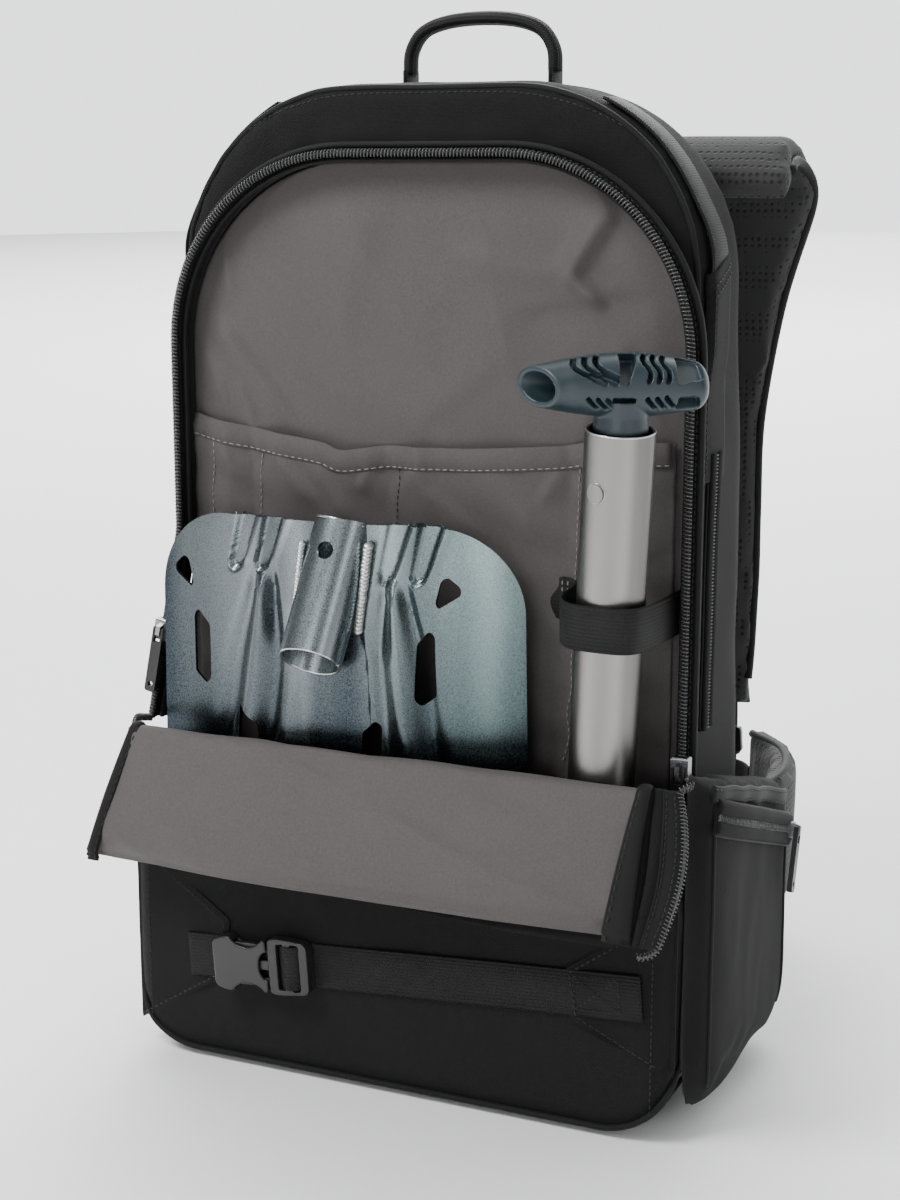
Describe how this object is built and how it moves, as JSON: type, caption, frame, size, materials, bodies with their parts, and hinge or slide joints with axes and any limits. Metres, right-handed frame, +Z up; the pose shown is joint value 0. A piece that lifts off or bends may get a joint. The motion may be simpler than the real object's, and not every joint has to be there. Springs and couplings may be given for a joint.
{
  "type": "avalanche airbag backpack",
  "caption": "Backpack with an airbag system, its front tool pocket folded open over a packed shovel, with a board strap, side pocket and carrying harness.",
  "frame": {"origin": "centre of the base panel's underside, midway between the sides; Y = 0 lies 84 mm behind the base's front edge", "axes": "+Z up, from the base to the top; -Y out of the tool pocket, away from the wearer; +X towards the long side pocket"},
  "size_m": [0.3551, 0.3839, 0.566],
  "materials": {
    "shell_fabric": "black twill nylon, plain weave with a slight sheen",
    "lining_fabric": "warm grey nylon lining, softly creased",
    "flap_fabric": "warm grey nylon lining, padded",
    "webbing": "black ribbed polypropylene webbing",
    "padding": "black foam pad in spacer mesh",
    "zipper_tape": "black knitted zipper tape",
    "zipper_coil": "black nylon coil",
    "slider_metal": "gunmetal zinc casting",
    "puller_plastic": "black moulded nylon",
    "buckle_plastic": "black moulded acetal, fine texture",
    "blade_aluminium": "anodised sheet, blue-grey, satin",
    "weld_metal": "bare weld bead",
    "tube_aluminium": "bead-blasted clear anodised tube",
    "grip_plastic": "teal-grey moulded nylon",
    "steel": "stamped steel",
    "canister_steel": "grey painted gas canister",
    "head_aluminium": "machined aluminium",
    "pin_steel": "ground steel",
    "airbag_fabric": "orange-red coated nylon, folded",
    "frame_plastic": "polyethylene sheet",
    "stay_aluminium": "flat aluminium bar",
    "hose_rubber": "black rubber",
    "trigger_plastic": "red-orange moulded handle"
  },
  "bodies": {
    "pack": {"base_panel": "shell_fabric", "main_shell": "shell_fabric", "tool_pocket": "shell_fabric", "pocket_lining": "lining_fabric", "probe_sleeve": "lining_fabric", "opening_rim": "shell_fabric", "pocket_zipper_tape": "zipper_tape", "pocket_zipper_coil": "zipper_coil", "side_pocket_right": "shell_fabric", "side_pocket_left": "shell_fabric", "shaft_strap": "webbing", "ski_loops": "webbing", "strap_wings": "shell_fabric", "board_strap": "webbing", "buckle_socket": "buckle_plastic", "side_zippers": "zipper_coil", "inflator_head": "head_aluminium", "airbag": "airbag_fabric", "inflation_hose": "hose_rubber", "trigger_cable": "hose_rubber", "frame_sheet": "frame_plastic", "frame_stays": "stay_aluminium", "back_panel": "padding", "lumbar_pad": "padding"},
    "flap": {"flap_lining": "flap_fabric", "flap_shell": "shell_fabric", "flap_gussets": "shell_fabric", "flap_zipper_coil": "zipper_coil"},
    "blade": {"shovel_blade": "blade_aluminium", "blade_socket": "blade_aluminium", "weld_beads": "weld_metal"},
    "lower_shaft": {"inner_shaft": "tube_aluminium"},
    "shovel_handle": {"shovel_shaft": "tube_aluminium", "shovel_grip": "grip_plastic"},
    "button": {"spring_button": "tube_aluminium"},
    "right_slider": {"slider_right": "slider_metal"},
    "right_puller": {"puller_right": "puller_plastic"},
    "left_slider": {"slider_left": "slider_metal"},
    "left_puller": {"puller_left": "puller_plastic"},
    "side_zip_slider": {"side_slider": "slider_metal"},
    "side_zip_puller": {"side_puller": "puller_plastic"},
    "buckle": {"buckle_plug": "buckle_plastic"},
    "right_strap": {"shoulder_strap_right": "padding", "ladder_lock_right": "buckle_plastic", "strap_webbing_right": "webbing"},
    "left_strap": {"shoulder_strap_left": "padding", "ladder_lock_left": "buckle_plastic", "strap_webbing_left": "webbing"},
    "trigger": {"trigger_handle": "trigger_plastic"},
    "right_wing": {"hip_wing_right": "padding", "hip_webbing_right": "webbing", "hip_buckle_frame": "steel"},
    "left_wing": {"hip_wing_left": "padding", "hip_webbing_left": "webbing", "hip_buckle_tongue": "steel"},
    "handle_loop": {"grab_handle": "webbing"},
    "pin": {"piercing_pin": "pin_steel"},
    "canister": {"gas_canister": "canister_steel"}
  },
  "joints": [
    {"name": "flap_fold", "type": "hinge", "parent": "pack", "child": "flap", "pos_m": [0, -0.101, 0.187], "axis": [-1, 0, 0], "range_deg": [0, 95]},
    {"name": "blade_lift", "type": "slide", "parent": "pack", "child": "blade", "axis": [0, -0.03, 0.9996], "range_m": [0, 0.25]},
    {"name": "shaft_lift", "type": "slide", "parent": "pack", "child": "lower_shaft", "axis": [0.0739, -0.1026, 0.992], "range_m": [0, 0.25]},
    {"name": "shaft_telescope", "type": "slide", "parent": "lower_shaft", "child": "shovel_handle", "axis": [0.0739, -0.1026, 0.992], "range_m": [0, 0.18]},
    {"name": "button_press", "type": "slide", "parent": "shovel_handle", "child": "button", "axis": [0.3028, 0.95, 0.0757], "range_m": [0, 0.003], "stiffness_N_per_m": 300},
    {"name": "right_zip_slide", "type": "slide", "parent": "pack", "child": "right_slider", "axis": [0, 0, 1], "range_m": [0, 0.15]},
    {"name": "right_puller_swing", "type": "hinge", "parent": "right_slider", "child": "right_puller", "pos_m": [0.1478, -0.0689, 0.19], "axis": [-1, 0, 0], "range_deg": [0, 150]},
    {"name": "left_zip_slide", "type": "slide", "parent": "pack", "child": "left_slider", "axis": [0.1978, 0, 0.9802], "range_m": [-0.044, 0]},
    {"name": "left_puller_swing", "type": "hinge", "parent": "left_slider", "child": "left_puller", "pos_m": [-0.1531, -0.0689, 0.234], "axis": [-0.9802, 0, 0.1978], "range_deg": [0, 90]},
    {"name": "side_zip_slide", "type": "slide", "parent": "pack", "child": "side_zip_slider", "axis": [0, -0.9455, 0.3256], "range_m": [0, 0.115]},
    {"name": "side_puller_swing", "type": "hinge", "parent": "side_zip_slider", "child": "side_zip_puller", "pos_m": [0.1814, 0.04633, 0.12805], "axis": [0, -0.9455, 0.3256], "range_deg": [0, 120]},
    {"name": "buckle_release", "type": "slide", "parent": "pack", "child": "buckle", "axis": [0.9976, 0, 0.0698], "range_m": [0, 0.03]},
    {"name": "right_strap_swing", "type": "hinge", "parent": "pack", "child": "right_strap", "pos_m": [0.1, 0.047, 0.4774], "axis": [1, 0, 0], "range_deg": [0, 20]},
    {"name": "left_strap_swing", "type": "hinge", "parent": "pack", "child": "left_strap", "pos_m": [-0.1, 0.047, 0.4774], "axis": [1, 0, 0], "range_deg": [0, 20]},
    {"name": "trigger_pull", "type": "slide", "parent": "left_strap", "child": "trigger", "axis": [0, 0, -1], "range_m": [0, 0.03]},
    {"name": "pin_stroke", "type": "slide", "parent": "pack", "child": "pin", "axis": [0, 0, -1], "range_m": [0, 0.005]},
    {"name": "right_wing_swing", "type": "hinge", "parent": "pack", "child": "right_wing", "pos_m": [0.129, 0.0763, 0.086], "axis": [0, 0, -1], "range_deg": [0, 35]},
    {"name": "left_wing_swing", "type": "hinge", "parent": "pack", "child": "left_wing", "pos_m": [-0.129, 0.0763, 0.086], "axis": [0, 0, 1], "range_deg": [0, 35]},
    {"name": "handle_swing", "type": "hinge", "parent": "pack", "child": "handle_loop", "pos_m": [0, 0.026, 0.534], "axis": [1, 0, 0], "range_deg": [-50, 50]},
    {"name": "canister_turn", "type": "hinge", "parent": "pack", "child": "canister", "pos_m": [0.062, 0.016, 0.13], "axis": [0, 0, 1], "continuous": true}
  ],
  "couplings": [
    {"joint": "pin_stroke", "follows": "trigger_pull", "ratio": 0.16667}
  ]
}
